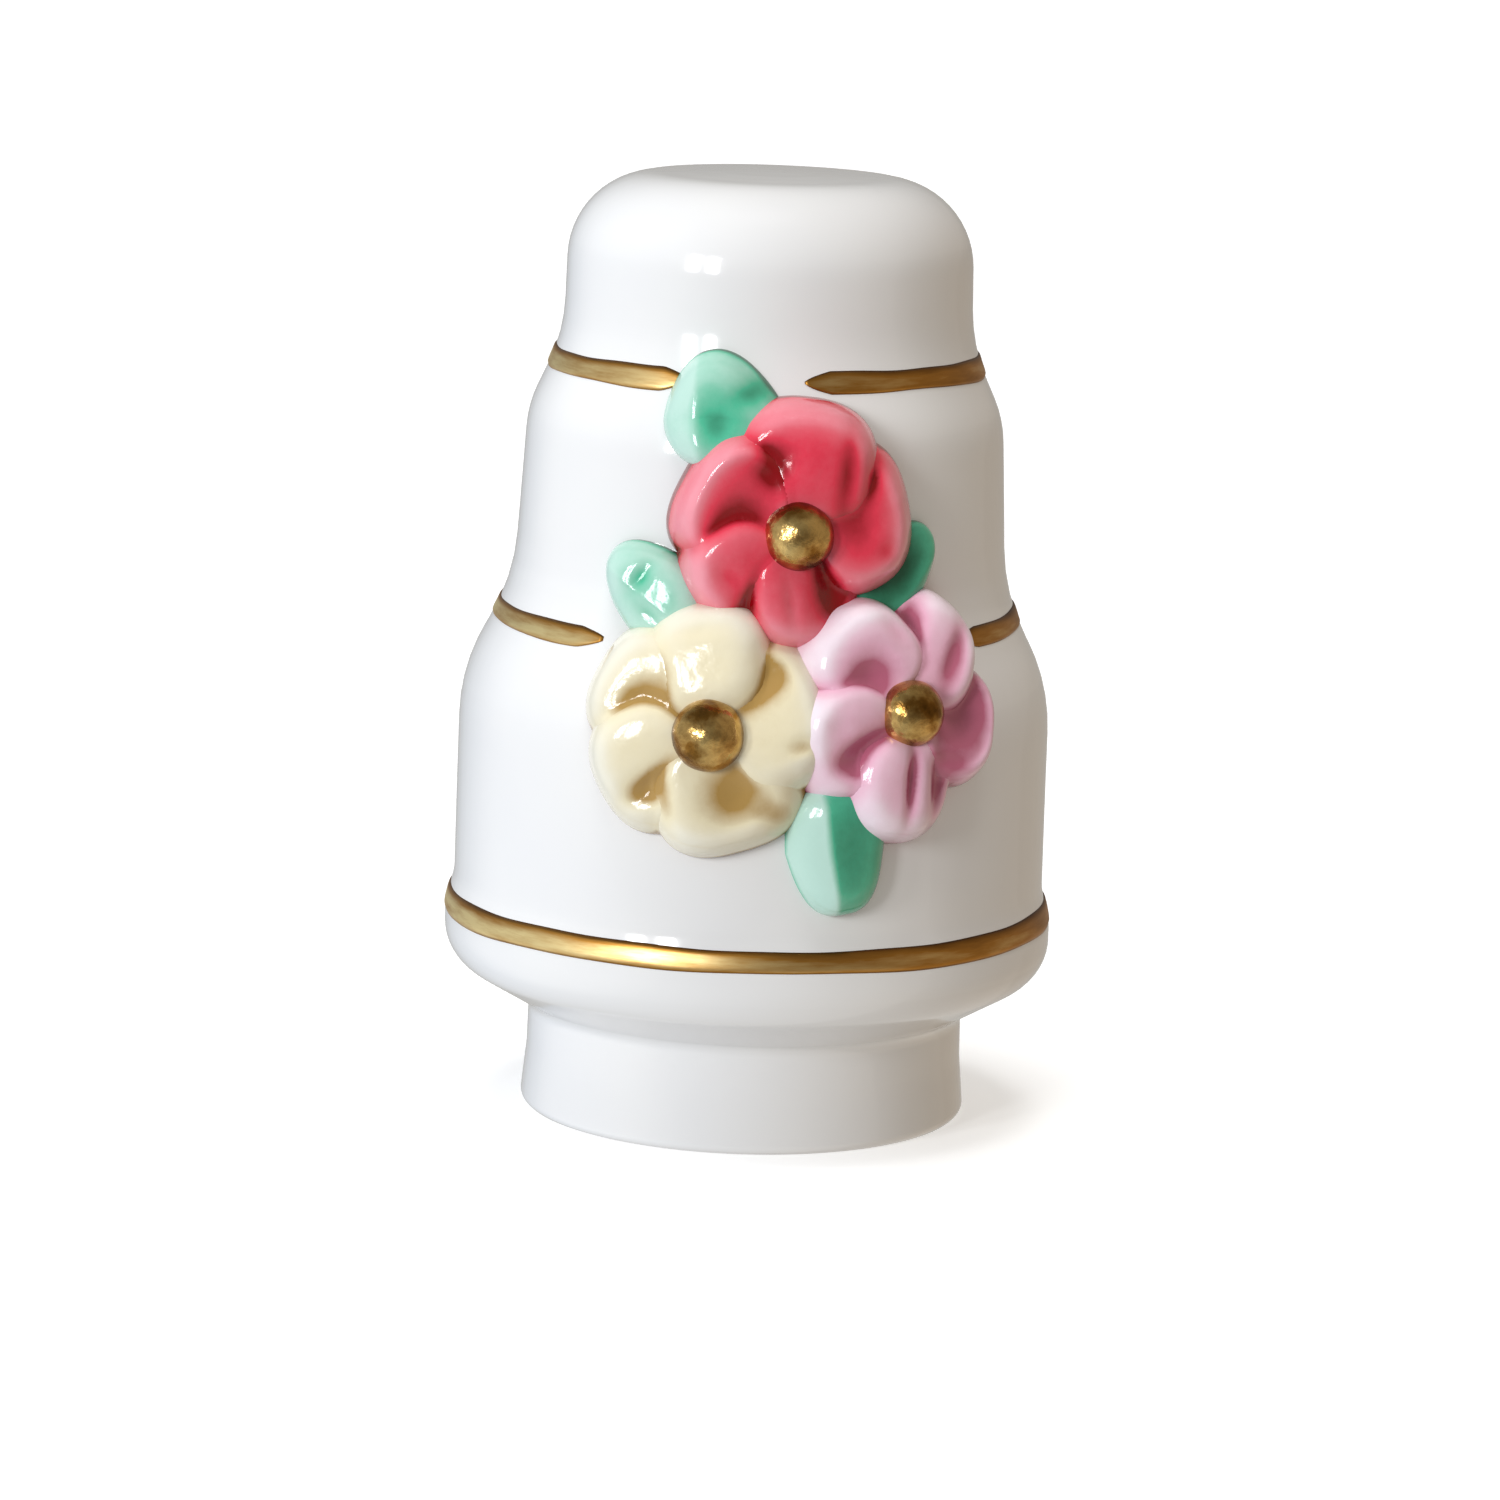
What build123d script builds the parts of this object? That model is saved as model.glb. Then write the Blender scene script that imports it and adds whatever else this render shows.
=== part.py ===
from build123d import *

import os
from math import atan2, cos, degrees, radians, sin

# A small glazed porcelain ornament in the shape of a three-tier cake on a pedestal
# foot, with an applied spray of three flowers and four leaves, painted gold bands and
# a soft rubber stopper under the foot.  Millimetres.  +Z is up, the origin is the
# centre of the foot's underside, and the front, where the spray is, faces -Y.
# An azimuth is counted in degrees from the front, towards +X.

# ---- driving dimensions -------------------------------------------------------

HEIGHT = 49.0              # foot to crown
WALL = 2.4                 # thickness of the cast porcelain

# outline of the cake, from the crown down: radius, height, radius of the corner
CROWN = [
    (2.5, HEIGHT, 120.0),
    (10.4, 48.75, 4.5),
]
TIERS = [
    (10.6, 40.5, 9.0),     # foot of the top tier
    (12.35, 36.7, 6.0),    # shoulder of the middle tier
    (12.85, 27.5, 11.0),   # foot of the middle tier
    (15.42, 22.9, 9.5),    # shoulder of the bottom tier
    (15.46, 12.2, 2.5),
    (15.9, 10.3, 1.2),     # rim
    (15.9, 8.1, 2.5),
    (11.42, 5.5, 1.0),     # neck
    (11.45, 3.0, 5.0),
    (11.72, 0.0, 0.5),     # foot
]

# the recess and socket under the foot, and the hollow above them, from the foot up
BORE_RADIUS = 5.0
BORE_TOP = 7.2
COLLAR_RADIUS = 7.4
FLOOR_TOP = 3.7
RECESS_RADIUS = 7.8
RECESS_DEPTH = 1.3
SOCKET = [
    (RECESS_RADIUS, 0.0, 0.0),
    (RECESS_RADIUS, RECESS_DEPTH, 0.0),
    (BORE_RADIUS, RECESS_DEPTH, 0.0),
    (BORE_RADIUS, BORE_TOP, 0.0),
    (COLLAR_RADIUS, BORE_TOP, 0.0),
]
HOLLOW = [
    (COLLAR_RADIUS, FLOOR_TOP, 0.6),
    (9.0, FLOOR_TOP, 0.6),
    (9.0, 7.4, 1.5),
    (13.1, 10.0, 2.0),
    (13.0, 22.3, 6.0),
    (10.45, 27.0, 8.0),
    (9.95, 36.2, 5.0),
    (8.2, 40.0, 6.0),
    (8.0, HEIGHT - WALL, 2.2),
]

# rubber stopper
STEM_RADIUS = 4.5
STEM_LENGTH = 10.0
LEAD_IN = 1.0
FLANGE_RADIUS = 7.4
FLANGE_HEIGHT = 1.2
HEAD_CLEARANCE = 0.05
HEAD_TOP = 6.6
HEAD_CHAMFER = 0.6

# gold bands: height of the middle and width, then the two azimuths between which the
# spray interrupts the band, or nothing where the band is a full ring
BAND_THICKNESS = 0.12
COAT_ABOVE = 5.0           # how far the blank of the bands reaches up the top tier
BANDS = {
    "upper_gold_band": (39.5, 1.2, (-28.0, 3.0)),
    "middle_gold_band": (26.5, 1.1, (-38.0, 41.0)),
    "lower_gold_band": (11.0, 1.3, ()),
}

# flowers: azimuth and height of the bead and its radius, then one entry per petal,
# counter-clockwise: how far its middle lies right of the bead and above it, and its
# radius
BEAD_LIFT = 1.5            # middle of a bead above the cake's wall
PETAL_SINK = 0.7           # middle of a petal's dome below the cake's wall
FLOWERS = {
    "coral": (1.0, 32.1, 1.75, [
        (3.2, 0.6, 3.0), (0.4, 3.9, 3.0), (-3.2, 1.6, 2.9), (-2.5, -2.1, 2.9), (0.4, -2.8, 2.8),
    ]),
    "cream": (-14.1, 22.4, 1.8, [
        (2.9, 0.7, 2.8), (-0.2, 3.7, 2.9), (-3.4, 1.9, 2.8), (-2.8, -2.1, 3.0), (0.9, -2.9, 2.9),
    ]),
    "lilac": (21.4, 23.5, 1.65, [
        (1.8, 3.0, 2.6), (-2.0, 2.8, 2.9), (-3.0, -1.2, 2.8), (-0.1, -3.6, 2.8), (2.8, -0.6, 2.6),
    ]),
}

# leaves: azimuth and height of the middle, length, width, height above the wall, and
# the direction of the tip in degrees from the right towards the top
LEAVES = {
    "top_leaf": (-17.0, 37.9, 6.4, 4.6, 1.7, 110.0),
    "left_leaf": (-29.5, 29.0, 6.2, 4.6, 1.9, 150.0),
    "right_leaf": (24.0, 30.3, 6.2, 4.0, 1.5, 40.0),
    "bottom_leaf": (8.4, 16.8, 7.4, 4.8, 1.6, 285.0),
}
LEAF_ROOT = 3.0            # how far a leaf's blank reaches into the wall
LEAF_EDGE = 0.5            # rounding of a leaf's upper edge

REACH = 12.0               # half-size of the cutting wedges, past any petal


# ---- helpers ------------------------------------------------------------------

def wall_radius(height):
    """Radius of the cake's outside at a height, along its outline before rounding."""
    for (upper_r, upper_z, _), (lower_r, lower_z, _) in zip(TIERS, TIERS[1:]):
        if lower_z <= height <= upper_z:
            share = (height - lower_z) / (upper_z - lower_z)
            return lower_r + share * (upper_r - lower_r)
    return TIERS[0][0]


def on_wall(azimuth, height, lift=0.0):
    """A frame on the wall: x to the right, y up, z outwards, raised by lift."""
    turn = radians(azimuth)
    outward = Vector(sin(turn), -cos(turn), 0)
    rightward = Vector(cos(turn), sin(turn), 0)
    origin = outward * (wall_radius(height) + lift) + Vector(0, 0, height)
    return Plane(origin=origin, x_dir=rightward, z_dir=outward).location


def turned(corners):
    """The solid of revolution of a closed outline of (radius, height, corner radius)."""
    points = [(r, z) for r, z, _ in corners]
    roundings = [rounding for _, _, rounding in corners]
    section = make_face(Plane.XZ * FilletPolyline(*points, radius=roundings, close=True))
    return revolve(section, axis=Axis.Z)


def pie(start, end, reach, depth):
    """A prism about Z between two angles less than half a turn apart."""
    corners = [(0, 0)]
    for angle in (start, (start + end) / 2, end):
        corners.append((reach * cos(radians(angle)), reach * sin(radians(angle))))
    return extrude(Polygon(*corners, align=None), amount=depth, both=True)


def boxes_meet(one, other):
    """Whether the upright boxes around two shapes meet."""
    a = one.bounding_box()
    b = other.bounding_box()
    across = a.min.X < b.max.X and b.min.X < a.max.X
    along = a.min.Y < b.max.Y and b.min.Y < a.max.Y
    return across and along and a.min.Z < b.max.Z and b.min.Z < a.max.Z


def without(shape, tools):
    """The shape with each tool that is near it cut away from it."""
    for tool in tools:
        if boxes_meet(shape, tool):
            shape = shape - tool
    return shape


# ---- porcelain body -----------------------------------------------------------

def make_envelope():
    """Everything inside the cake's outer surface, as one solid."""
    return turned([(0.0, HEIGHT, 0.0)] + CROWN + TIERS + [(0.0, 0.0, 0.0)])


def make_cake_body():
    """The cast shell, with the stopper's recess and socket in its floor."""
    crown_top = (0.0, HEIGHT, 0.0)
    hollow_top = (0.0, HEIGHT - WALL, 0.0)
    return turned([crown_top] + CROWN + TIERS + SOCKET + HOLLOW + [hollow_top])


# ---- rubber stopper -----------------------------------------------------------

def make_stopper():
    head_radius = BORE_RADIUS - HEAD_CLEARANCE
    return turned([
        (0.0, -STEM_LENGTH, 0.0),
        (STEM_RADIUS - LEAD_IN / 2, -STEM_LENGTH, 0.0),
        (STEM_RADIUS, LEAD_IN - STEM_LENGTH, 0.0),
        (STEM_RADIUS, 0.0, 0.0),
        (FLANGE_RADIUS, 0.0, 0.0),
        (FLANGE_RADIUS, FLANGE_HEIGHT, 0.0),
        (head_radius, FLANGE_HEIGHT, 0.0),
        (head_radius, HEAD_TOP - HEAD_CHAMFER, 0.0),
        (head_radius - HEAD_CHAMFER, HEAD_TOP, 0.0),
        (0.0, HEAD_TOP, 0.0),
    ])


# ---- gold bands ---------------------------------------------------------------

def make_coat():
    """A skin of lustre over the walls, from below the rim to the top tier."""
    outer = [(r + BAND_THICKNESS, z, rounding) for r, z, rounding in TIERS]
    top = outer[0][1] + COAT_ABOVE
    return turned([(0.0, top, 0.0), (outer[0][0], top, 0.0)] + outer + [(0.0, 0.0, 0.0)])


def make_band(coat, envelope, height, width, gap):
    slab = Pos(0, 0, height) * Cylinder(2 * REACH, width)
    strip = (coat & slab) - envelope
    if gap:
        front = -90.0
        opening = Pos(0, 0, height) * pie(front + gap[0], front + gap[1], 3 * REACH, width)
        strip = strip - opening
    return strip


# ---- flowers ------------------------------------------------------------------

def make_petals(azimuth, height, petals):
    """Domes that hug the wall, parted by planes through the flower's axis."""
    centre = on_wall(azimuth, height)
    angles = [degrees(atan2(up, right)) % 360 for right, up, _ in petals]
    solids = []
    for index, (right, up, radius) in enumerate(petals):
        before = (angles[index] - angles[index - 1]) % 360
        after = (angles[(index + 1) % len(petals)] - angles[index]) % 360
        wedge = pie(angles[index] - before / 2, angles[index] + after / 2, REACH, REACH)
        across = degrees(right / wall_radius(height))
        middle = on_wall(azimuth + across, height + up, -PETAL_SINK)
        dome = middle * Rot(0, 0, angles[index]) * Sphere(radius)
        solids.append(dome & (centre * wedge))
    return solids


def make_leaf(azimuth, height, length, width, thickness, direction):
    """A pointed oval blade lying on the wall, its upper edge rounded."""
    half = length / 2
    upper = ThreePointArc((-half, 0), (0, width / 2), (half, 0))
    lower = ThreePointArc((half, 0), (0, -width / 2), (-half, 0))
    outline = Rot(0, 0, direction) * make_face([upper, lower])
    blade = extrude(Pos(0, 0, -LEAF_ROOT) * outline, amount=LEAF_ROOT + thickness)
    blade = fillet(blade.faces().sort_by(Axis.Z)[-1].edges(), LEAF_EDGE)
    return on_wall(azimuth, height) * blade


def make_spray(envelope, bands):
    """Beads, petals and leaves, each cut back to what it is laid against."""
    nodes = {}
    beads = {}
    for colour, (azimuth, height, radius, _) in FLOWERS.items():
        ball = on_wall(azimuth, height, BEAD_LIFT) * Sphere(radius)
        beads[colour] = ball - envelope
        nodes[colour + "_bead"] = beads[colour]
    laid = []
    for colour, (azimuth, height, _, petals) in FLOWERS.items():
        flower = []
        for number, petal in enumerate(make_petals(azimuth, height, petals), 1):
            shape = without(petal, [envelope] + list(beads.values()) + laid + bands)
            nodes[f"{colour}_petal_{number}"] = shape
            flower.append(shape)
        laid += flower
    for name, sizes in LEAVES.items():
        shape = without(make_leaf(*sizes), [envelope] + laid + bands)
        nodes[name] = shape
        laid.append(shape)
    return nodes


# ---- assembly -----------------------------------------------------------------

def main():
    envelope = make_envelope()
    coat = make_coat()
    nodes = {"cake_body": make_cake_body(), "stopper": make_stopper()}
    for name, (height, width, gap) in BANDS.items():
        nodes[name] = make_band(coat, envelope, height, width, gap)
    nodes.update(make_spray(envelope, [nodes[name] for name in BANDS]))
    os.makedirs("parts", exist_ok=True)
    for name, shape in nodes.items():
        export_step(shape, f"parts/{name}.step")


main()
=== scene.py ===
from math import atan2, cos, degrees, log, pi, radians, sin, tan

import bmesh
import bpy
import numpy as np
from mathutils import Matrix, Vector, noise


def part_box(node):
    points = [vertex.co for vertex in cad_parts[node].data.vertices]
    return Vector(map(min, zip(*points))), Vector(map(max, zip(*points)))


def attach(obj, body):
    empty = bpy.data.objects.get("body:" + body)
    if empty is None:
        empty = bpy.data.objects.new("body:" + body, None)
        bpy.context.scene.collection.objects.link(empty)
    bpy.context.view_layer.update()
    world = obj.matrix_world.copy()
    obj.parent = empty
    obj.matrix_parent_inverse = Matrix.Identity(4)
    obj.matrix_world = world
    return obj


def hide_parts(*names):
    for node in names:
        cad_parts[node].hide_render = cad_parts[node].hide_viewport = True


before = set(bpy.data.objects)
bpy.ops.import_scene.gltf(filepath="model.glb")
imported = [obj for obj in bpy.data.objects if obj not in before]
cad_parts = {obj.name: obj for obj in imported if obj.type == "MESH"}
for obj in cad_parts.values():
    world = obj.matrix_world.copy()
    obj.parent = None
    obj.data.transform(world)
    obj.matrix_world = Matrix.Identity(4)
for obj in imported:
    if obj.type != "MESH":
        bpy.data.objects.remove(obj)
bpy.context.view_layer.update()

# Lengths in this script are millimetres, in the frame's axes; MM turns them into metres
# when a mesh is made.  An azimuth is in degrees from the front (-Y) towards +X.
MM = 0.001
ORNAMENT = "ornament"
STOPPER = "stopper"

# ---- the cake's outline ---------------------------------------------------------

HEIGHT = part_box("cake_body")[1].z / MM
WALL = 2.4

# from the crown down: radius, height, radius of the corner
OUTSIDE = [
    (0.0, HEIGHT, 0.0),
    (2.5, HEIGHT, 120.0),
    (10.4, 48.75, 4.5),
    (10.6, 40.5, 9.0),
    (12.35, 36.7, 6.0),
    (12.85, 27.5, 11.0),
    (15.42, 22.9, 9.5),
    (15.46, 12.2, 2.5),
    (15.9, 10.3, 1.2),
    (15.9, 8.1, 2.5),
    (11.42, 5.5, 1.0),
    (11.45, 3.0, 5.0),
    (11.72, 0.0, 0.5),
    (7.8, 0.0, 0.25),
]
INSIDE = [
    (7.8, 0.0, 0.25),
    (7.8, 1.3, 0.3),
    (5.0, 1.3, 0.15),
    (5.0, 7.2, 0.4),
    (7.4, 7.2, 0.8),
    (7.4, 3.7, 0.6),
    (9.0, 3.7, 0.6),
    (9.0, 7.4, 1.5),
    (13.1, 10.0, 2.0),
    (13.0, 22.3, 6.0),
    (10.45, 27.0, 8.0),
    (9.95, 36.2, 5.0),
    (8.2, 40.0, 6.0),
    (8.0, HEIGHT - WALL, 2.2),
    (0.0, HEIGHT - WALL, 0.0),
]
ARC_STEP = 6.0             # degrees of an arc between two points of an outline


def rounded(corners):
    """Points along an outline of (radius, height, corner radius), its corners as arcs."""
    points = [np.array(corners[0][:2])]
    for before, here, after in zip(corners, corners[1:], corners[2:]):
        corner = np.array(here[:2])
        way_in = corner - np.array(before[:2])
        way_out = np.array(after[:2]) - corner
        way_in /= np.linalg.norm(way_in)
        way_out /= np.linalg.norm(way_out)
        turn = atan2(way_in[0] * way_out[1] - way_in[1] * way_out[0], way_in @ way_out)
        if here[2] == 0.0:
            points.append(corner)
            continue
        side = 1.0 if turn > 0 else -1.0
        start = corner - way_in * here[2] * tan(abs(turn) / 2)
        centre = start + side * here[2] * np.array([-way_in[1], way_in[0]])
        spoke = start - centre
        steps = max(2, round(degrees(abs(turn)) / ARC_STEP))
        for step in range(steps + 1):
            angle = turn * step / steps
            points.append(centre + [
                spoke[0] * cos(angle) - spoke[1] * sin(angle),
                spoke[0] * sin(angle) + spoke[1] * cos(angle),
            ])
    points.append(np.array(corners[-1][:2]))
    return np.array(points)


def evenly(points, spacing):
    """The same line with points added, so that none are further apart than spacing."""
    filled = [points[0]]
    for start, end in zip(points, points[1:]):
        parts = max(1, round(np.linalg.norm(end - start) / spacing))
        for part in range(1, parts + 1):
            filled.append(start + (end - start) * part / parts)
    return np.array(filled)


OUTLINE = evenly(rounded(OUTSIDE), 0.4)
SIDE = OUTLINE[OUTLINE[:, 1] < HEIGHT - 3.0]
SIDE = SIDE[SIDE[:, 1] > 6.0][::-1]


def handmade(azimuth, height):
    """How far the cast wall strays from a true circle: slow swells, none at the foot."""
    turn = np.radians(azimuth)
    swell = 0.045 * np.sin(2 * turn + 0.7 + height / 23.0)
    swell = swell + 0.03 * np.sin(3 * turn - 1.1 + height / 9.0)
    swell = swell + 0.02 * np.sin(5 * turn + height / 5.0)
    return swell * np.clip((height - 1.0) / 5.0, 0.0, 1.0) - 0.03


def wall_radius(azimuth, height):
    return np.interp(height, SIDE[:, 1], SIDE[:, 0]) + handmade(azimuth, height)


# ---- meshes ----------------------------------------------------------------------

def make_piece(name, points, faces, body, material, replaced, values=None):
    """A smooth-shaded mesh from millimetre points that rides on a body and stands for nodes."""
    mesh = bpy.data.meshes.new(name)
    mesh.from_pydata([tuple(p) for p in np.asarray(points) * MM], [], faces)
    mesh.validate()
    shell = bmesh.new()
    shell.from_mesh(mesh)
    bmesh.ops.recalc_face_normals(shell, faces=shell.faces)
    shell.to_mesh(mesh)
    shell.free()
    mesh.polygons.foreach_set("use_smooth", [True] * len(mesh.polygons))
    for key, value in (values or {}).items():
        layer = mesh.attributes.new(key, "FLOAT", "POINT")
        layer.data.foreach_set("value", np.asarray(value, np.float32))
    mesh.update()
    piece = bpy.data.objects.new(name, mesh)
    bpy.context.scene.collection.objects.link(piece)
    mesh.materials.append(material)
    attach(piece, body)
    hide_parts(*replaced)


def grid_faces(rows, columns, closed=True):
    """Quads between successive rows of points, joined round at the ends if closed."""
    faces = []
    for row in range(rows - 1):
        for column in range(columns if closed else columns - 1):
            after = (column + 1) % columns
            near = row * columns
            far = near + columns
            faces.append((near + column, near + after, far + after, far + column))
    return faces


def closed_faces(rows, columns):
    """The faces of a grid closed by a fan on the point after it and one on the next."""
    faces = grid_faces(rows, columns)
    top = rows * columns
    last = top - columns
    for column in range(columns):
        after = (column + 1) % columns
        faces.append((top, after, column))
        faces.append((top + 1, last + column, last + after))
    return faces


def turned(name, section, around, body, material, replaced, wander=None):
    """A solid of revolution of a line that starts and ends on the axis."""
    azimuths = np.arange(around) * 360.0 / around
    rows = []
    for radius, height in section[1:-1]:
        ring = radius + (wander(azimuths, radius, height) if wander else 0.0)
        turn = np.radians(azimuths)
        level = np.full(around, height)
        rows.append(np.stack([ring * np.sin(turn), -ring * np.cos(turn), level], 1))
    points = np.concatenate(rows + [[[0.0, 0.0, section[0][1]]], [[0.0, 0.0, section[-1][1]]]])
    faces = closed_faces(len(rows), around)
    make_piece(name, points, faces, body, material, replaced)


# ---- materials --------------------------------------------------------------------

def new_material(name, **sockets):
    """A Principled material with its plain sockets set, and its nodes and links."""
    material = bpy.data.materials.new(name)
    material.use_nodes = True
    tree = material.node_tree
    shader = tree.nodes["Principled BSDF"]
    for socket, value in sockets.items():
        shader.inputs[socket.replace("_", " ")].default_value = value
    return material, tree, shader


def noise_node(tree, scale, detail=3.0, roughness=0.5, stretch=None):
    """Procedural noise in object space; scale is in cells per millimetre."""
    where = tree.nodes.new("ShaderNodeTexCoord").outputs["Object"]
    if stretch:
        mapping = tree.nodes.new("ShaderNodeMapping")
        mapping.inputs["Scale"].default_value = stretch
        tree.links.new(where, mapping.inputs["Vector"])
        where = mapping.outputs["Vector"]
    texture = tree.nodes.new("ShaderNodeTexNoise")
    texture.inputs["Scale"].default_value = scale / MM
    texture.inputs["Detail"].default_value = detail
    texture.inputs["Roughness"].default_value = roughness
    tree.links.new(where, texture.inputs["Vector"])
    return texture.outputs["Fac"]


def ramp_node(tree, factor, stops):
    """A colour ramp over a factor, from (position, colour) stops."""
    node = tree.nodes.new("ShaderNodeValToRGB")
    elements = node.color_ramp.elements
    while len(elements) < len(stops):
        elements.new(0.5)
    for element, (position, colour) in zip(elements, stops):
        element.position = position
        element.color = (*colour, 1.0)
    tree.links.new(factor, node.inputs["Fac"])
    return node.outputs["Color"]


def math_node(tree, operation, first, second, clamp=False):
    node = tree.nodes.new("ShaderNodeMath")
    node.operation = operation
    node.use_clamp = clamp
    for socket, value in zip(node.inputs, (first, second)):
        if isinstance(value, (int, float)):
            socket.default_value = value
        else:
            tree.links.new(value, socket)
    return node.outputs["Value"]


def add_bump(tree, shader, height, depth):
    """Bump from a height between 0 and 1; depth is in millimetres."""
    node = tree.nodes.new("ShaderNodeBump")
    node.inputs["Strength"].default_value = 1.0
    node.inputs["Distance"].default_value = depth * MM
    tree.links.new(height, node.inputs["Height"])
    tree.links.new(node.outputs["Normal"], shader.inputs["Normal"])


def porcelain():
    """White body under a clear glaze, with a faint mottle and orange-peel ripple."""
    material, tree, shader = new_material(
        "porcelain_glaze", Roughness=0.11, IOR=1.5, Coat_Weight=0.5, Coat_Roughness=0.03,
    )
    mottle = noise_node(tree, 0.09, detail=4.0)
    tint = ramp_node(tree, mottle, [(0.3, (0.86, 0.86, 0.865)), (0.7, (0.90, 0.895, 0.885))])
    tree.links.new(tint, shader.inputs["Base Color"])
    add_bump(tree, shader, noise_node(tree, 0.35, detail=2.0), 0.012)
    return material


SPECKLE = 0.12             # how far the grain of a coloured glaze shifts its tone


def tinted_glaze(name, deep, base, pale):
    """Coloured glaze that pools dark in hollows and thins pale over raised edges; its darkening in
    hollows and creases is partly painted shade.
    """
    material, tree, shader = new_material(
        name, Roughness=0.14, IOR=1.46, Coat_Weight=0.25, Coat_Roughness=0.04,
    )
    # glaze pooling, partly painted shade in hollows and creases
    pooling_and_painted_shade = tree.nodes.new("ShaderNodeAttribute")
    pooling_and_painted_shade.attribute_name = "glaze"
    grain = math_node(tree, "SUBTRACT", noise_node(tree, 1.6, detail=5.0, roughness=0.65), 0.5)
    grain = math_node(tree, "MULTIPLY", grain, SPECKLE)
    depth = math_node(tree, "ADD", pooling_and_painted_shade.outputs["Fac"], grain, clamp=True)
    middle = tuple((b + p) / 2 for b, p in zip(base, pale))
    colour = ramp_node(tree, depth, [(0.05, deep), (0.42, base), (0.68, middle), (0.95, pale)])
    tree.links.new(colour, shader.inputs["Base Color"])
    add_bump(tree, shader, noise_node(tree, 0.75, detail=3.0), 0.06)
    return material


def gold(name, dark, middle, bright, contrast, dents, dull=0.34, polished=0.14, stretch=None):
    """Burnished gold lustre: streaks of brush, brown where it is thinly laid; on the bands the tone it
    reads also carries painted light, brighter on the left, and painted shade along the upper edge.
    """
    material, tree, shader = new_material(name, Metallic=1.0)
    streaks = noise_node(tree, 0.45, detail=5.0, roughness=0.6, stretch=stretch)
    # tone of the lustre: thinly laid edges, and on the bands painted light and shade
    thinness_and_painted_light = tree.nodes.new("ShaderNodeAttribute")
    thinness_and_painted_light.attribute_name = "glaze"
    spread = math_node(tree, "MULTIPLY", math_node(tree, "SUBTRACT", streaks, 0.5), contrast)
    spread = math_node(tree, "ADD", spread, 0.7)
    depth = math_node(tree, "MULTIPLY", thinness_and_painted_light.outputs["Fac"], spread, clamp=True)
    colour = ramp_node(tree, depth, [(0.1, dark), (0.5, middle), (0.95, bright)])
    tree.links.new(colour, shader.inputs["Base Color"])
    rough = tree.nodes.new("ShaderNodeMapRange")
    rough.inputs["To Min"].default_value = dull
    rough.inputs["To Max"].default_value = polished
    tree.links.new(streaks, rough.inputs["Value"])
    tree.links.new(rough.outputs["Result"], shader.inputs["Roughness"])
    add_bump(tree, shader, streaks, dents)
    return material


def soft_rubber():
    """Milky translucent rubber with a fine moulded bloom."""
    material, tree, shader = new_material("stopper_rubber", Roughness=0.5)
    bloom = noise_node(tree, 0.5, detail=5.0)
    tint = ramp_node(tree, bloom, [(0.3, (0.70, 0.69, 0.65)), (0.7, (0.78, 0.77, 0.73))])
    tree.links.new(tint, shader.inputs["Base Color"])
    add_bump(tree, shader, noise_node(tree, 4.0, detail=2.0), 0.01)
    return material


MATERIALS = {
    "porcelain": porcelain(),
    "coral": tinted_glaze("coral_glaze", (0.27, 0.0, 0.003), (0.80, 0.045, 0.085), (0.90, 0.32, 0.38)),
    "cream": tinted_glaze("cream_glaze", (0.46, 0.28, 0.08), (0.87, 0.78, 0.54), (0.89, 0.86, 0.74)),
    "lilac": tinted_glaze("lilac_glaze", (0.50, 0.13, 0.21), (0.86, 0.47, 0.61), (0.94, 0.82, 0.89)),
    "mint": tinted_glaze("mint_glaze", (0.015, 0.14, 0.07), (0.085, 0.52, 0.32), (0.53, 0.78, 0.68)),
    "gold": gold("gold_lustre", (0.10, 0.035, 0.006), (0.48, 0.23, 0.045), (0.99, 0.79, 0.38),
                 0.9, 0.02, dull=0.52, polished=0.34, stretch=(0.5, 0.5, 4.0)),
    "bead_gold": gold("bead_lustre", (0.045, 0.018, 0.004), (0.24, 0.11, 0.02), (0.72, 0.48, 0.17),
                      2.4, 0.18),
    "rubber": soft_rubber(),
}

# ---- porcelain body and rubber stopper ----------------------------------------------

def make_body():
    section = np.concatenate([OUTLINE, evenly(rounded(INSIDE), 1.5)[1:]])

    def wander(azimuths, radius, height):
        outside = radius > np.interp(height, SIDE[:, 1], SIDE[:, 0]) - WALL / 2 or height > HEIGHT - 1.5
        share = min(1.0, radius / 10.0) if outside else 0.0
        return handmade(azimuths, height) * share

    turned("porcelain_cake", section, 192, ORNAMENT, MATERIALS["porcelain"],
           ["cake_body"], wander)


STOPPER_SECTION = [
    (0.0, -9.0, 0.0),
    (2.2, -9.0, 0.5),
    (2.6, -10.0, 0.3),
    (4.0, -10.0, 0.4),
    (4.5, -9.0, 0.8),
    (4.5, 0.0, 0.15),
    (7.4, 0.0, 0.3),
    (7.4, 1.2, 0.4),
    (4.95, 1.2, 0.2),
    (4.95, 5.9, 0.6),
    (4.3, 6.6, 0.4),
    (0.0, 6.6, 0.0),
]


def make_stopper():
    section = evenly(rounded(STOPPER_SECTION), 0.5)
    turned("rubber_stopper", section, 96, STOPPER, MATERIALS["rubber"], ["stopper"])


# ---- gold bands ----------------------------------------------------------------------

BAND_RISE = 0.10           # middle of the lustre above the glaze
BAND_STEP = 1.0            # degrees between two sections of a band
ACROSS = 9                 # points across a band's upper side
LEFT_PAINTED_LIGHT = 0.3          # painted light: how much brighter the lustre's colour is made on the left than in front
BAND_TIP = 7.0             # degrees over which a band's open end tapers
BAND_SINK = 0.12           # depth of a band's underside in the glaze

# height, width, tilt (how much higher at the right than at the left of the front) and
# the azimuths of its two ends, the long way round the back
BANDS = {
    "upper_gold_band": (39.5, 1.12, 0.10, 3.5, 333.0),
    "middle_gold_band": (26.45, 0.98, 0.16, 42.0, 319.5),
    "lower_gold_band": (11.0, 1.18, 0.08, 0.0, 360.0),
}


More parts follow.
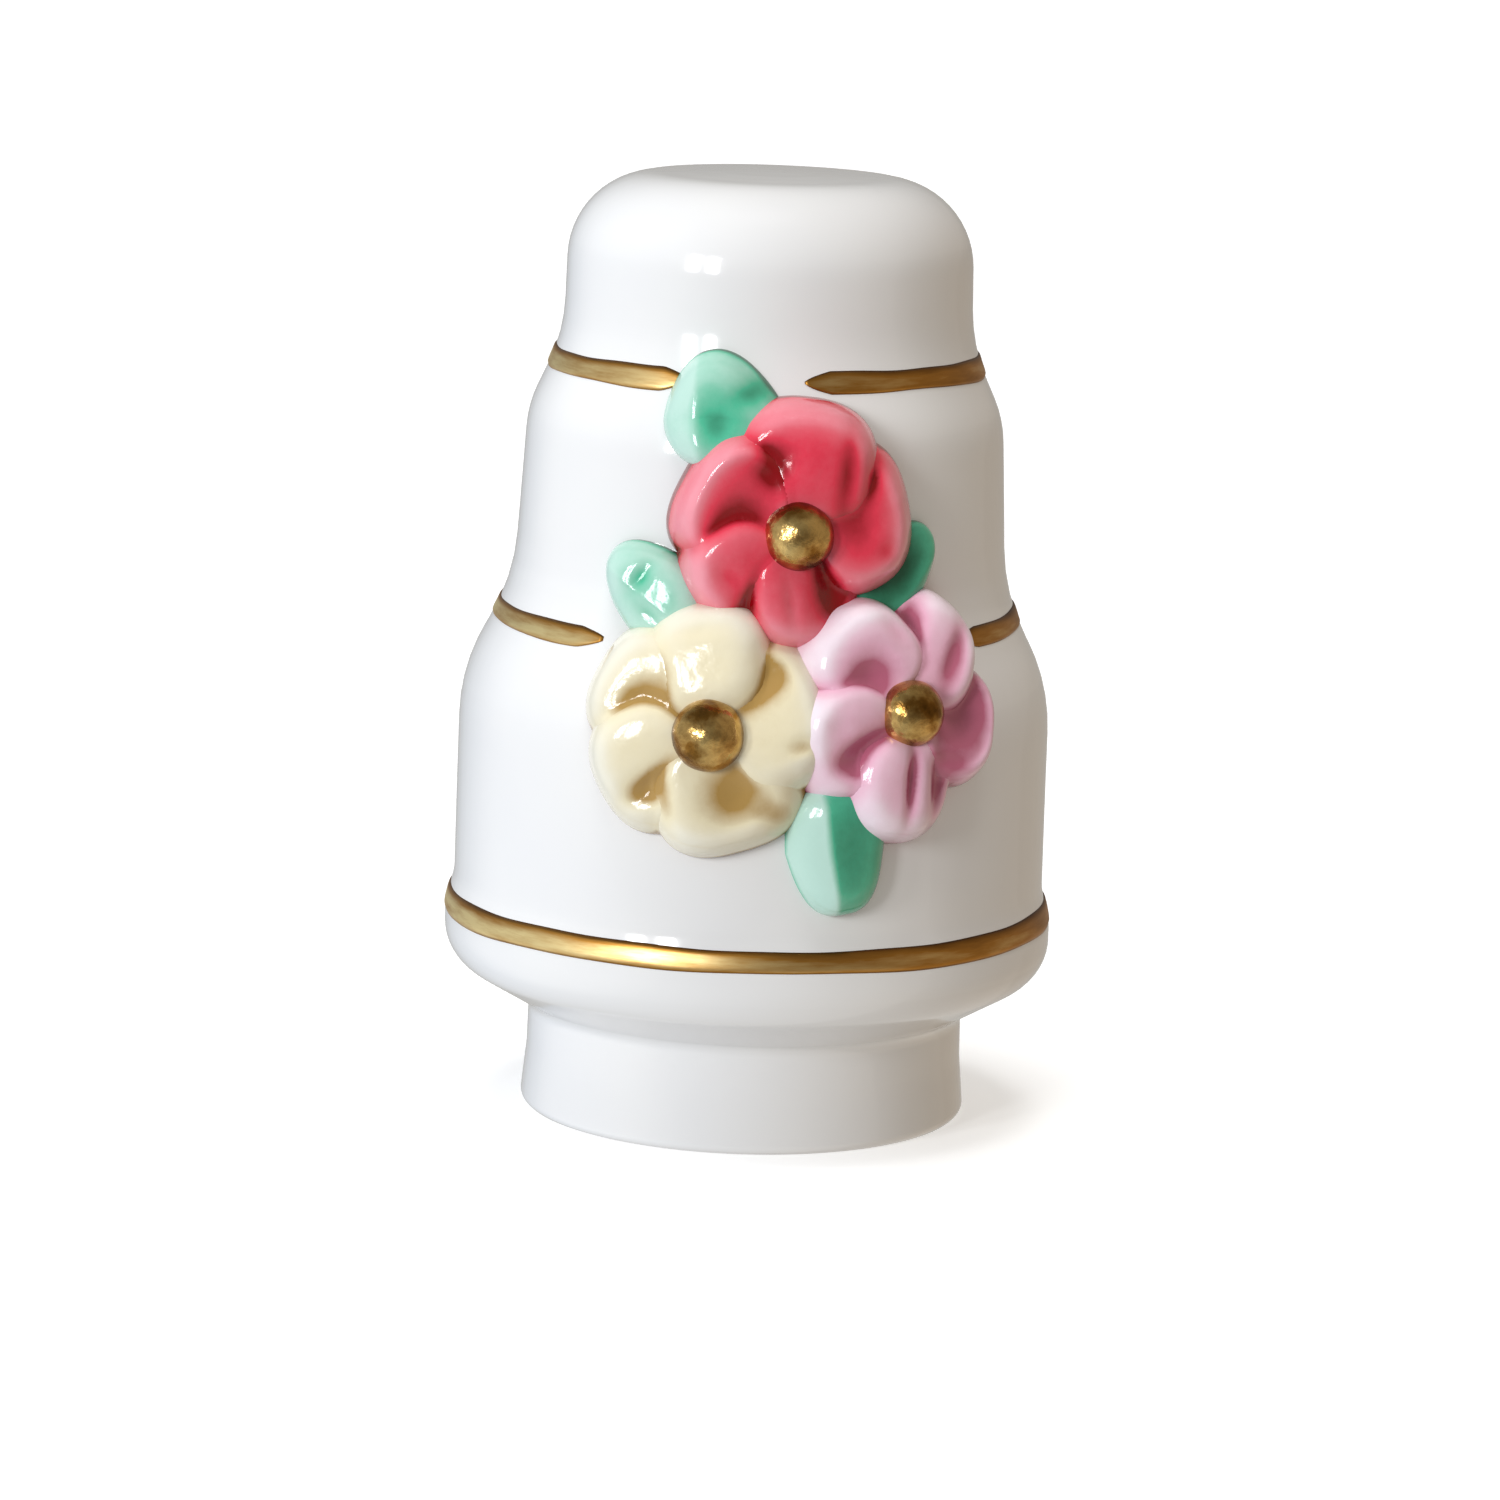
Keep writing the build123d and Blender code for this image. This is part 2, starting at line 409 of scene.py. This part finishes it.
def brush_wave(azimuth, seed):
    """A slow unevenness of hand brushing, between about -1 and 1."""
    turn = np.radians(azimuth)
    return (np.sin(3 * turn + seed) + 0.6 * np.sin(7 * turn + 2.3 * seed)
            + 0.25 * np.sin(16 * turn + 3.1 * seed)) / 1.5


def make_band(name, seed):
    height, width, tilt, start, end = BANDS[name]
    ring = end - start >= 360.0
    azimuths = np.arange(start, end + (0.0 if ring else 0.01), BAND_STEP)
    count = len(azimuths)
    middle = height + tilt * np.sin(np.radians(azimuths)) + 0.06 * brush_wave(azimuths, seed)
    half = width / 2 * (1.0 + 0.10 * brush_wave(azimuths, seed + 1.7))
    taper = np.ones(count)
    if not ring:
        from_end = np.minimum(azimuths - start, end - azimuths)
        taper = np.clip(from_end / BAND_TIP, 0.02, 1.0) ** 0.6
    half = half * taper
    steps = np.linspace(-1.0, 1.0, ACROSS)
    ridge = BAND_RISE * np.sqrt(np.clip(1.0 - steps ** 4, 0.0, 1.0)) + 0.004
    rows = []
    tone = []
    for shift, rise in list(zip(steps, ridge)) + [(0.7, -BAND_SINK), (-0.7, -BAND_SINK)]:
        z = middle + shift * half
        radius = wall_radius(azimuths, z) + rise * taper ** 0.5
        turn = np.radians(azimuths)
        rows.append(np.stack([radius * np.sin(turn), -radius * np.cos(turn), z], 1))
        # darker towards both edges where the lustre is thinly laid, and most along the upper edge:
        # painted shade where the band lies in the corner under the tier above
        body = 1.0 - 0.8 * max(0.0, shift) ** 2 - 0.45 * max(0.0, -shift) ** 4
        # painted light: the lustre is coloured brighter on the left and browner on the right, on top of
        # the unevenness of brushing
        brushing_and_painted_light = 0.95 + 0.08 * brush_wave(azimuths * 2, seed + shift) - LEFT_PAINTED_LIGHT * np.sin(turn)
        tone.append(np.clip(body * brushing_and_painted_light, 0.0, 1.3) * taper ** 0.3)
    across = len(rows)
    points = np.stack(rows, 1).reshape(-1, 3)
    faces = grid_faces(count, across)
    if ring:
        last = (count - 1) * across
        for column in range(across):
            after = (column + 1) % across
            faces.append((last + column, last + after, after, column))
    else:
        faces.append(tuple(range(across))[::-1])
        faces.append(tuple(range((count - 1) * across, count * across)))
    make_piece("painted_" + name, points, faces, ORNAMENT, MATERIALS["gold"],
               [name], {"glaze": np.stack(tone, 1).ravel()})


# ---- raised flowers and leaves ---------------------------------------------------------

SPOKES = 96                # points round a petal
RINGS = 26                 # rings from the middle of a petal to its edge
ROOT = 0.7                 # how deep a petal reaches into the wall
POOL_REACH = 1.3           # how far away the height is compared for pooling glaze
POOL_AND_SHADE_GAIN = 1.9            # how strongly a hollow darkens: glaze pooling, partly painted shade
PALE_GAIN = 0.75           # how strongly a ridge pales
SHOULDER_POWER = 4.5       # squareness of a lobe's shoulder
SHOULDER_ROUNDING = 0.6    # steepness of its side
RIM_PLACE = 0.74           # where a lobe's raised rim is, as a share of its size
RIM_WIDTH = 0.13
FACET_BLEND = 0.22         # width of the change of tone at a leaf's fold, a tone partly painted light and shade


class Mount:
    """A flat frame that touches the wall: u to the right, v up, and the way out."""

    def __init__(self, azimuth, height, lean):
        turn = radians(azimuth)
        level = np.array([sin(turn), -cos(turn), 0.0])
        self.right = np.array([cos(turn), sin(turn), 0.0])
        self.out = level * cos(radians(lean)) + np.array([0.0, 0.0, sin(radians(lean))])
        self.up = np.cross(self.out, self.right)
        self.origin = level * float(wall_radius(azimuth, height)) + np.array([0.0, 0.0, height])

    def gap(self, u, v):
        """Distance from the flat frame back to the wall."""
        depth = np.zeros_like(u)
        for _ in range(4):
            point = self.at(u, v) - depth[..., None] * self.out
            azimuth = np.degrees(np.arctan2(point[..., 0], -point[..., 1]))
            wall = wall_radius(azimuth, point[..., 2])
            reach = np.hypot(point[..., 0], point[..., 1]) - wall
            depth = depth + reach
        return depth

    def at(self, u, v):
        return self.origin + u[..., None] * self.right + v[..., None] * self.up

    def raised(self, u, v, height):
        """The point at a height above the wall, measured along the way out."""
        return self.at(u, v) + (height - self.gap(u, v))[..., None] * self.out


class Lobe:
    """One petal or leaf: a soft-edged mound about its own middle, with shaped relief.

    Along runs outwards from the bead, aside runs counter-clockwise, both as shares of
    the lobe's half length and half width.  A hollow is (along, aside, half length, half
    width, depth, how much darker its glaze is, partly painted shade).  Tone is how much
    lighter or darker the colour is made on each side of the fold, or of the middle line
    where there is no fold, partly painted light and shade.
    """

    def __init__(self, angle, distance, length, width, height, side_slope=0.0, rim=0.0,
                 hollows=(), point=0.0, fold=None, tone=(0.0, 0.0), square=2.5, ripple=0.03,
                 seed=0.0):
        self.way = np.array([cos(radians(angle)), sin(radians(angle))])
        self.across = np.array([-self.way[1], self.way[0]])
        self.middle = self.way * distance
        self.length = length
        self.width = width
        self.height = height
        self.side_slope = side_slope
        self.rim = rim
        self.hollows = hollows
        self.point = point
        self.fold = fold
        self.tone = tone
        self.square = square
        self.ripple = ripple
        self.seed = seed

    def edge(self, turn):
        """Unevenness of the outline, as a share of its size."""
        wave = np.sin(2 * turn + self.seed) + 0.6 * np.sin(3 * turn + 2.1 * self.seed)
        fullness = np.abs(np.cos(turn)) ** self.square + np.abs(np.sin(turn)) ** self.square
        return (1.0 + self.ripple * wave) * fullness ** (-1.0 / self.square)

    def spot(self, turn, share):
        """The point at an angle about the middle and a share of the way to the edge."""
        reach = share * self.edge(turn)
        along = reach * np.cos(turn)
        aside = reach * np.sin(turn) / (1.0 + self.point * np.clip(along, 0.0, 1.0))
        along = along * self.length
        aside = aside * self.width
        return (self.middle[0] + along * self.way[0] + aside * self.across[0],
                self.middle[1] + along * self.way[1] + aside * self.across[1])

    def shares(self, u, v):
        """Along, aside and the share of the way to the edge, at a point."""
        off_u = u - self.middle[0]
        off_v = v - self.middle[1]
        along = (off_u * self.way[0] + off_v * self.way[1]) / self.length
        aside = (off_u * self.across[0] + off_v * self.across[1]) / self.width
        aside = aside * (1.0 + self.point * np.clip(along, 0.0, 1.0))
        turn = np.arctan2(aside, along)
        return along, aside, np.hypot(along, aside) / self.edge(turn)

    def nearness(self, along, aside, hollow):
        """1 in the middle of a hollow, falling to 0 around it."""
        away = ((along - hollow[0]) / hollow[2]) ** 2 + ((aside - hollow[1]) / hollow[3]) ** 2
        return np.exp(-away)

    def relief(self, u, v, extra=0.0):
        """Height above the wall; past the edge it falls below nothing."""
        along, aside, share = self.shares(u, v)
        shoulder = np.clip(1.0 - share ** SHOULDER_POWER, 0.0, 1.0) ** SHOULDER_ROUNDING
        top = self.height + extra + self.side_slope * aside
        top = top + self.rim * np.exp(-((share - RIM_PLACE) / RIM_WIDTH) ** 2)
        for hollow in self.hollows:
            top = top - hollow[4] * self.nearness(along, aside, hollow)
        if self.fold:
            place, near_slope, far_slope = self.fold
            top = top - near_slope * np.clip(place - aside, 0.0, 2.0)
            top = top - far_slope * np.clip(aside - place, 0.0, 2.0)
        return np.where(share < 1.0, np.maximum(top, 0.2) * shoulder, -4.0 * (share - 1.0))


class Relief:
    """Lobes on one patch of wall that melt into each other along soft creases."""

    def __init__(self, azimuth, height, lean, flatness, softness, lobes):
        self.mount = Mount(azimuth, height, lean)
        self.flatness = flatness
        self.softness = softness
        self.lobes = lobes

    def each(self, u, v):
        extra = self.flatness * np.clip(self.mount.gap(u, v), 0.0, 3.0)
        return np.stack([lobe.relief(u, v, extra) for lobe in self.lobes])

    def surface(self, u, v):
        each = self.each(u, v)
        highest = each.max(0)
        return highest + np.log(np.exp(self.softness * (each - highest)).sum(0)) / self.softness

    def own(self, number, u, v):
        """The height of one lobe's own mesh: the melted surface, then under its neighbours."""
        return np.minimum(self.surface(u, v), self.each(u, v)[number] + log(2.0) / self.softness)

    def glaze(self, number, u, v):
        """How thinly the glaze lies: 0 where it pools, 0.5 on even ground, 1 on edges; the darkening in
        hollows and creases is partly painted shade, and the tones are partly painted light and shade.
        """
        here = self.surface(u, v)
        around = np.zeros_like(here)
        for step in range(10):
            turn = 2 * pi * step / 10
            for reach in (POOL_REACH, 0.45 * POOL_REACH):
                beside = self.surface(u + reach * cos(turn), v + reach * sin(turn))
                around = around + np.clip(beside, 0.0, 9.0) / 20
        lobe = self.lobes[number]
        along, aside, share = lobe.shares(u, v)
        above = here - around
        # glaze pools dark in hollows and creases, partly painted shade, and thins pale on ridges
        depth = 0.42 + np.where(above > 0.0, PALE_GAIN, POOL_AND_SHADE_GAIN) * above
        depth = depth + 0.25 * np.clip((share - 0.86) / 0.12, 0.0, 1.0)
        # each hollow's own darkening: glaze pooling, partly painted shade in the creases
        for hollow in lobe.hollows:
            depth = depth - hollow[5] * lobe.nearness(along, aside, hollow)
        # partly painted light and shade: the tone makes each side of the fold, or of the middle line,
        # lighter or darker
        place = lobe.fold[0] if lobe.fold else 0.0
        side = np.clip((aside - place) / FACET_BLEND + 0.5, 0.0, 1.0)
        depth = depth + lobe.tone[0] * (1.0 - side) + lobe.tone[1] * side
        return np.clip(depth, 0.0, 1.0)

    def build(self, number, node, material, slot):
        """The closed mesh of one lobe, rooted in the wall, that stands for a CAD node."""
        lobe = self.lobes[number]
        shares = np.concatenate([np.sin(np.linspace(0.0, pi / 2, RINGS)[1:]), [0.97]])
        turns = np.arange(SPOKES) * 2 * pi / SPOKES
        share, turn = np.meshgrid(shares, turns, indexing="ij")
        u, v = lobe.spot(turn, share)
        height = self.own(number, u, v)
        height[-2] = np.minimum(height[-2], 0.0)
        height[-1] = -ROOT
        middle_u, middle_v = (np.array([c]) for c in lobe.middle)
        crown = self.mount.raised(middle_u, middle_v, self.own(number, middle_u, middle_v))
        root = self.mount.raised(middle_u, middle_v, np.array([-ROOT]))
        points = np.concatenate([self.mount.raised(u, v, height).reshape(-1, 3), crown, root])
        faces = [face[::-1] for face in closed_faces(len(shares), SPOKES)]
        glaze = [self.glaze(number, u, v).ravel(), self.glaze(number, middle_u, middle_v), [0.5]]
        make_piece("glazed_" + node, points, faces, ORNAMENT, material, [node],
                   {"glaze": np.concatenate(glaze)})


# Every petal has its high ridge on the clockwise side and its hollow on the other, so
# that the petals lie round the bead like a pinwheel.
FLOWERS = {
    "coral": Relief(1.0, 32.1, 4.0, 0.6, 5.5, [
        Lobe(18, 3.2, 2.9, 3.9, 2.1, side_slope=-0.45, rim=0.2, seed=0.4,
             hollows=[(-0.05, 0.55, 0.6, 0.25, 0.7, 0.5), (-0.1, -0.15, 0.35, 0.35, 0.15, 0.05),
                      (0.35, -0.55, 0.2, 0.15, 0.2, 0.1)]),
        Lobe(83, 3.6, 3.2, 3.9, 2.3, side_slope=-0.4, rim=0.1, seed=1.2,
             hollows=[(-0.25, 0.62, 0.45, 0.24, 0.75, 0.6), (-0.1, -0.5, 0.9, 0.13, 0.2, 0.25),
                      (0.1, 0.3, 0.4, 0.2, 0.15, -0.05)]),
        Lobe(154, 3.3, 2.9, 3.7, 2.1, side_slope=-0.3, rim=0.3, seed=2.5,
             hollows=[(-0.05, 0.1, 0.5, 0.55, 0.4, 0.05), (-0.3, -0.7, 0.4, 0.25, 0.35, 0.55)]),
        Lobe(218, 3.1, 3.0, 3.2, 2.2, side_slope=-0.6, rim=0.1, seed=3.1,
             hollows=[(-0.05, 0.47, 0.75, 0.25, 0.7, 0.6), (0.3, -0.2, 0.2, 0.3, 0.2, -0.1)]),
        Lobe(278, 2.7, 2.9, 3.0, 2.2, side_slope=-0.55, rim=0.1, seed=4.0,
             hollows=[(-0.05, 0.5, 0.8, 0.3, 0.75, 0.6), (0.2, -0.25, 0.4, 0.12, 0.15, -0.25)]),
    ]),
    "cream": Relief(-14.1, 22.4, 10.0, 0.55, 4.2, [
        Lobe(20, 3.2, 2.8, 4.1, 1.75, side_slope=-0.3, rim=0.15, seed=0.9,
             hollows=[(-0.15, 0.5, 0.8, 0.28, 0.6, 0.6), (0.5, -0.5, 0.3, 0.12, 0.25, 0.3)]),
        Lobe(97, 3.6, 3.1, 3.4, 2.2, side_slope=-0.25, rim=0.0, seed=1.9,
             hollows=[(-0.35, 0.7, 0.5, 0.18, 0.5, 0.4), (0.5, 0.1, 0.15, 0.5, 0.12, 0.0)]),
        Lobe(152, 3.9, 3.0, 3.4, 1.65, side_slope=-0.3, rim=0.1, seed=2.2,
             hollows=[(-0.1, 0.15, 0.45, 0.4, 0.35, 0.15), (-0.75, -0.3, 0.3, 0.3, 0.4, 0.5)]),
        Lobe(210, 3.4, 3.1, 3.5, 1.85, side_slope=-0.4, rim=0.1, seed=3.6,
             hollows=[(-0.05, 0.3, 0.7, 0.2, 0.6, 0.5)]),
        Lobe(285, 3.0, 3.1, 3.8, 1.8, side_slope=-0.4, rim=0.15, seed=4.4,
             hollows=[(0.1, 0.15, 0.55, 0.4, 0.4, 0.3), (0.5, 0.65, 0.25, 0.25, 0.4, 0.4),
                      (-0.2, -0.75, 0.6, 0.12, 0.3, 0.3)]),
    ]),
    "lilac": Relief(21.9, 23.5, 10.0, 0.55, 5.5, [
        Lobe(61, 3.3, 3.2, 2.9, 2.1, side_slope=-0.55, rim=0.05, seed=0.2,
             hollows=[(0.0, 0.6, 0.9, 0.2, 0.8, 0.4), (0.1, -0.35, 0.8, 0.22, 0.35, 0.4)]),
        Lobe(128, 3.4, 2.8, 3.4, 2.2, side_slope=-0.5, rim=0.15, seed=1.1,
             hollows=[(-0.25, 0.2, 0.45, 0.4, 0.6, 0.35), (0.2, -0.6, 0.5, 0.15, 0.2, 0.1)]),
        Lobe(202, 3.3, 3.0, 3.2, 2.0, side_slope=-0.5, rim=0.15, seed=2.9,
             hollows=[(-0.1, 0.25, 0.8, 0.3, 0.7, 0.45), (0.3, -0.3, 0.2, 0.2, 0.15, -0.1)]),
        Lobe(264, 3.6, 3.0, 3.0, 2.1, side_slope=-0.3, rim=0.05, seed=3.3,
             hollows=[(-0.05, 0.0, 0.6, 0.12, 0.4, 0.25), (-0.1, 0.6, 0.8, 0.2, 0.7, 0.4)]),
        # partly painted shade: this petal's colour is made darker all over
        Lobe(346, 2.8, 2.8, 3.2, 1.9, side_slope=-0.2, rim=0.35, tone=(-0.32, -0.4), seed=4.8,
             hollows=[(0.0, 0.2, 0.5, 0.5, 0.6, 0.3), (-0.2, -0.7, 0.6, 0.15, 0.4, 0.3)]),
    ]),
}

# Each leaf is folded along a line; the tone on each side of the fold is partly painted light and shade.
LEAVES = {
    "top_leaf": Relief(-17.2, 38.0, -4.0, 0.4, 5.0, [
        Lobe(100, 0.0, 2.8, 3.1, 1.6, point=0.15, fold=(0.35, 0.25, 0.9), tone=(0.0, 0.35),
             square=2.0, seed=0.7, ripple=0.06,
             hollows=[(0.3, -0.65, 0.22, 0.3, 0.3, 0.3), (-0.2, 0.0, 0.3, 0.25, 0.15, 0.0)]),
    ]),
    "left_leaf": Relief(-29.5, 29.0, 4.0, 0.4, 5.0, [
        Lobe(150, 0.0, 3.0, 2.4, 1.8, point=0.2, fold=(0.1, 0.3, 0.5), tone=(0.15, 0.25),
             square=2.2, seed=1.4, ripple=0.05,
             hollows=[(0.2, -0.25, 0.15, 0.35, 0.2, 0.1), (-0.3, 0.3, 0.25, 0.15, 0.2, 0.0)]),
    ]),
    # partly painted shade: this whole leaf is made darker
    "right_leaf": Relief(23.0, 30.1, 4.0, 0.4, 5.0, [
        Lobe(42, 0.0, 3.4, 2.3, 1.5, point=0.4, fold=(-0.5, 0.4, 0.5), tone=(-0.35, -0.38),
             square=2.1, seed=2.2),
    ]),
    "bottom_leaf": Relief(9.8, 16.9, 0.0, 0.4, 5.0, [
        Lobe(278, 0.0, 3.5, 2.6, 1.6, point=0.3, fold=(-0.3, 1.0, 0.3), tone=(0.55, -0.2),
             square=2.9, seed=3.0, ripple=0.04),
    ]),
}

# azimuth, height, radius and how far the bead's middle stands out from the wall
BEADS = {
    "coral": (1.0, 32.1, 1.75, 1.8),
    "cream": (-14.1, 22.4, 1.8, 1.7),
    "lilac": (21.4, 23.5, 1.65, 1.7),
}
BEAD_LEAN = 8.0            # degrees that the way out of a bead rises above level
BEAD_COLUMNS = 64
BEAD_ROWS = 32
BEAD_BULGE = 0.025         # unevenness of a bead, as a share of its radius


def make_bead(name):
    """A gilded ball, a little uneven, set in the middle of a flower."""
    azimuth, height, radius, lift = BEADS[name]
    mount = Mount(azimuth, height, BEAD_LEAN)
    centre = mount.origin + lift * mount.out
    turn = np.arange(BEAD_COLUMNS) * 2 * pi / BEAD_COLUMNS
    rows = []
    for row in range(1, BEAD_ROWS):
        polar = pi * row / BEAD_ROWS
        level = np.full(BEAD_COLUMNS, cos(polar))
        rows.append(np.stack([sin(polar) * np.cos(turn), sin(polar) * np.sin(turn), level], 1))
    directions = np.concatenate(rows + [[[0.0, 0.0, 1.0]], [[0.0, 0.0, -1.0]]])
    bulge = np.array([noise.noise(Vector(d) * 1.7 + Vector((azimuth, 0, 0))) for d in directions])
    points = centre + directions * (radius * (1.0 + BEAD_BULGE * bulge))[:, None]
    faces = [face[::-1] for face in closed_faces(len(rows), BEAD_COLUMNS)]
    make_piece("gilded_" + name + "_bead", points, faces, ORNAMENT, MATERIALS["bead_gold"],
               [name + "_bead"], {"glaze": np.full(len(points), 0.95)})


# ---- stage, light and camera -------------------------------------------------------------

# colours of the room from the far left to the right, as the ornament sees it
WORLD_WINDOW = (0.56, 0.58, 0.61)
WORLD_LEFT = (0.32, 0.35, 0.39)
WORLD_MIDDLE = (0.35, 0.34, 0.32)
WORLD_RIGHT = (0.37, 0.31, 0.245)
BOUNCE = 1.1               # how much brighter the room is below, from the pale table
FRONT_SHADE = 0.6          # how bright the room is behind the camera, against the sides
SUN_POWER = 1.5
FLOOR_HALF = 3.0           # metres from the middle of the floor to its edge
FLOOR_GLOW = 0.38          # emission that keeps the floor white round the ornament
PANE_SIZE = (0.11, 0.28)   # metres, width and height of each window pane
PANE_POWER = 2.2
PANE_COLOUR = (0.98, 0.99, 1.0)


def make_stage():
    mesh = bpy.data.meshes.new("floor")
    half = FLOOR_HALF
    corners = [(-half, -half, 0), (half, -half, 0), (half, half, 0), (-half, half, 0)]
    mesh.from_pydata(corners, [], [(0, 1, 2, 3)])
    floor = bpy.data.objects.new("floor", mesh)
    bpy.context.scene.collection.objects.link(floor)
    material, _, shader = new_material("pale_floor", Roughness=0.6)
    shader.inputs["Base Color"].default_value = (0.96, 0.965, 0.97, 1.0)
    shader.inputs["Emission Color"].default_value = (1.0, 1.0, 1.0, 1.0)
    shader.inputs["Emission Strength"].default_value = FLOOR_GLOW
    mesh.materials.append(material)
    floor.visible_diffuse = False        # its white doesn't flood the shaded side
    floor.visible_glossy = False         # nor draw a horizon across the glaze


def make_pane(name, azimuth, elevation, distance):
    """A soft rectangular light aimed at the middle of the cake."""
    data = bpy.data.lights.new(name, "AREA")
    data.shape = "RECTANGLE"
    data.size, data.size_y = PANE_SIZE
    data.energy = PANE_POWER
    data.color = PANE_COLOUR
    light = bpy.data.objects.new(name, data)
    bpy.context.scene.collection.objects.link(light)
    turn, rise = radians(azimuth), radians(elevation)
    back = Vector((sin(turn) * cos(rise), -cos(turn) * cos(rise), sin(rise)))
    light.location = back * distance + Vector((0, 0, HEIGHT * MM / 2))
    light.rotation_mode = "QUATERNION"
    light.rotation_quaternion = back.to_track_quat("Z", "Y")


def make_world():
    """Soft surroundings, cool and bright on the left and warm and dimmer on the right.

    Behind the ornament the camera sees plain white.
    """
    world = bpy.data.worlds.new("studio")
    bpy.context.scene.world = world
    world.use_nodes = True
    tree = world.node_tree
    direction = tree.nodes.new("ShaderNodeTexCoord").outputs["Generated"]
    parts = tree.nodes.new("ShaderNodeSeparateXYZ")
    tree.links.new(direction, parts.inputs["Vector"])
    side = math_node(tree, "MULTIPLY", parts.outputs["X"], 0.5)
    side = math_node(tree, "ADD", side, 0.5)
    colour = ramp_node(tree, side, [
        (0.08, WORLD_WINDOW), (0.2, WORLD_LEFT), (0.55, WORLD_MIDDLE), (0.9, WORLD_RIGHT),
    ])
    tree.links.new(colour, tree.nodes["Background"].inputs["Color"])
    front = math_node(tree, "MULTIPLY", parts.outputs["Y"], -1.0)
    dim = ramp_node(tree, front, [(0.35, (1.0, 1.0, 1.0)), (0.95, (FRONT_SHADE,) * 3)])
    below = math_node(tree, "MULTIPLY", parts.outputs["Z"], -1.0)
    low = ramp_node(tree, below, [(0.0, (0, 0, 0)), (0.6, (1, 1, 1))])
    bounce = math_node(tree, "MULTIPLY", low, BOUNCE)
    strength = math_node(tree, "ADD", dim, bounce)
    room = tree.nodes["Background"]
    tree.links.new(strength, room.inputs["Strength"])
    backdrop = tree.nodes.new("ShaderNodeBackground")
    backdrop.inputs["Color"].default_value = (1.0, 1.0, 1.0, 1.0)
    mix = tree.nodes.new("ShaderNodeMixShader")
    tree.links.new(tree.nodes.new("ShaderNodeLightPath").outputs["Is Camera Ray"], mix.inputs["Fac"])
    tree.links.new(room.outputs["Background"], mix.inputs[1])
    tree.links.new(backdrop.outputs["Background"], mix.inputs[2])
    tree.links.new(mix.outputs["Shader"], tree.nodes["World Output"].inputs["Surface"])


def make_sun():
    """High, very soft light that keeps the floor white without showing in the glaze."""
    data = bpy.data.lights.new("overhead", "SUN")
    data.energy = SUN_POWER
    data.angle = radians(30.0)
    sun = bpy.data.objects.new("overhead", data)
    bpy.context.scene.collection.objects.link(sun)
    sun.rotation_euler = (radians(4.0), radians(-4.0), 0.0)
    sun.visible_glossy = False


# degrees, then millimetres: where the camera stands and the height that it looks at
CAMERA_AZIMUTH = -6.5
CAMERA_RISE = 10.6
CAMERA_ROLL = 2.0
CAMERA_DISTANCE = 300.0
CAMERA_TARGET = 18.85


def make_camera():
    data = bpy.data.cameras.new("camera")
    data.sensor_width = 36.0
    data.lens = 137.8
    data.shift_x = -0.0021
    data.clip_start = 0.01
    data.clip_end = 20.0
    camera = bpy.data.objects.new("camera", data)
    bpy.context.scene.collection.objects.link(camera)
    turn, rise, roll = (radians(a) for a in (CAMERA_AZIMUTH, CAMERA_RISE, CAMERA_ROLL))
    back = Vector((sin(turn) * cos(rise), -cos(turn) * cos(rise), sin(rise)))
    right = Vector((cos(turn), sin(turn), 0))
    up = back.cross(right)
    level = Matrix((right * cos(roll) + up * sin(roll), up * cos(roll) - right * sin(roll), back))
    where = Vector((0, 0, CAMERA_TARGET)) + back * CAMERA_DISTANCE
    camera.matrix_world = Matrix.Translation(where * MM) @ level.transposed().to_4x4()
    bpy.context.scene.camera = camera


make_body()
make_stopper()
for index, band in enumerate(BANDS):
    make_band(band, 1.0 + index)
for colour, flower in FLOWERS.items():
    for index in range(len(flower.lobes)):
        flower.build(index, f"{colour}_petal_{index + 1}", MATERIALS[colour], colour + "_glaze")
    make_bead(colour)
for leaf, blade in LEAVES.items():
    blade.build(0, leaf, MATERIALS["mint"], "mint_glaze")

make_stage()
make_world()
make_sun()
make_pane("left_pane", -50.0, 15.0, 0.9)
make_pane("right_pane", -38.0, 15.0, 0.9)
make_camera()
bpy.context.scene.view_settings.view_transform = "Standard"
